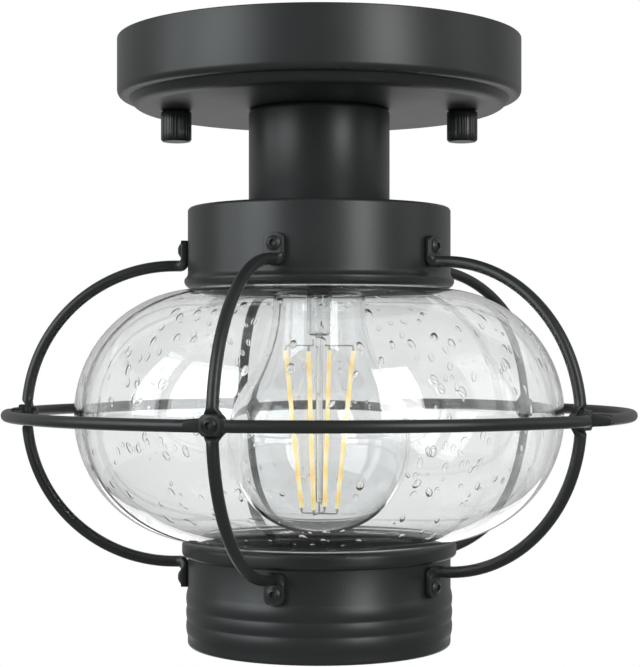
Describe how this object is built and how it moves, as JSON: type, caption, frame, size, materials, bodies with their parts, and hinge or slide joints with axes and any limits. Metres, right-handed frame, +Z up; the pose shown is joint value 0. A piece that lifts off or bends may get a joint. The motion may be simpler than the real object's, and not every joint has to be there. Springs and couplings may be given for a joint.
{
  "type": "porch ceiling lantern",
  "caption": "Ceiling lantern with a squashed seeded glass globe between two metal cups, in a bent wire guard with a belt ring, under a round canopy.",
  "frame": {"origin": "on the lantern's axis in the plane of the ceiling, at the centre of the two box screws", "axes": "+Z up into the ceiling, X through the two cap nuts, the picture looks along +Y"},
  "size_m": [0.2031, 0.2032, 0.195],
  "materials": {
    "black_powder_coat": "satin charcoal black powder coat",
    "zinc_steel": "zinc plated steel",
    "green_steel": "green dyed steel",
    "porcelain": "glazed white porcelain",
    "brass": "bright brass strip",
    "silicone": "translucent grey silicone rubber",
    "seeded_glass": "clear glass with seed bubbles",
    "lamp_glass": "thin clear glass",
    "lamp_cap": "rolled aluminium",
    "black_glass": "opaque black glass",
    "nickel": "nickel plated wire and solder",
    "phosphor": "yellow phosphor silicone"
  },
  "bodies": {
    "fixture": {"canopy": "black_powder_coat", "mounting_bracket": "zinc_steel", "mounting_studs": "zinc_steel", "stud_nuts": "zinc_steel", "ground_screw": "green_steel", "stem": "black_powder_coat", "nipple": "zinc_steel", "nipple_nuts": "zinc_steel", "lock_washer": "zinc_steel", "socket_bracket": "zinc_steel", "socket_screws": "zinc_steel", "socket_body": "porcelain", "socket_shell": "brass", "socket_contact": "brass", "upper_cup": "black_powder_coat", "upper_gasket": "silicone", "globe": "seeded_glass", "lower_gasket": "silicone", "seat_ring": "black_powder_coat", "lower_cup": "black_powder_coat", "guard_ring": "black_powder_coat", "arm_1": "black_powder_coat", "arm_2": "black_powder_coat", "arm_3": "black_powder_coat", "arm_4": "black_powder_coat", "arm_5": "black_powder_coat", "upper_rivets": "black_powder_coat", "lower_rivets": "black_powder_coat", "ring_rivets": "black_powder_coat"},
    "thumb_nut_left": {"thumb_nut_left": "black_powder_coat"},
    "thumb_nut_right": {"thumb_nut_right": "black_powder_coat"},
    "bulb_tip": {"bulb_contact": "nickel"},
    "bulb": {"bulb_glass": "lamp_glass", "bulb_cap": "lamp_cap", "bulb_insulator": "black_glass", "bulb_stem": "lamp_glass", "bulb_filaments": "phosphor", "bulb_wires": "nickel"}
  },
  "joints": [
    {"name": "thumb_nut_left_turn", "type": "hinge", "parent": "fixture", "child": "thumb_nut_left", "pos_m": [-0.0463, 0, -0.0225], "axis": [0, 0, -1], "continuous": true},
    {"name": "thumb_nut_right_turn", "type": "hinge", "parent": "fixture", "child": "thumb_nut_right", "pos_m": [0.0463, 0, -0.0225], "axis": [0, 0, -1], "continuous": true},
    {"name": "bulb_lower", "type": "slide", "parent": "fixture", "child": "bulb_tip", "axis": [0, 0, -1], "range_m": [0, 0.0218]},
    {"name": "bulb_turn", "type": "hinge", "parent": "bulb_tip", "child": "bulb", "pos_m": [0, 0, -0.0509], "axis": [0, 0, -1], "range_deg": [0, 2160]}
  ],
  "couplings": [
    {"joint": "bulb_lower", "follows": "bulb_turn", "m_per_rad": 0.00057773}
  ]
}
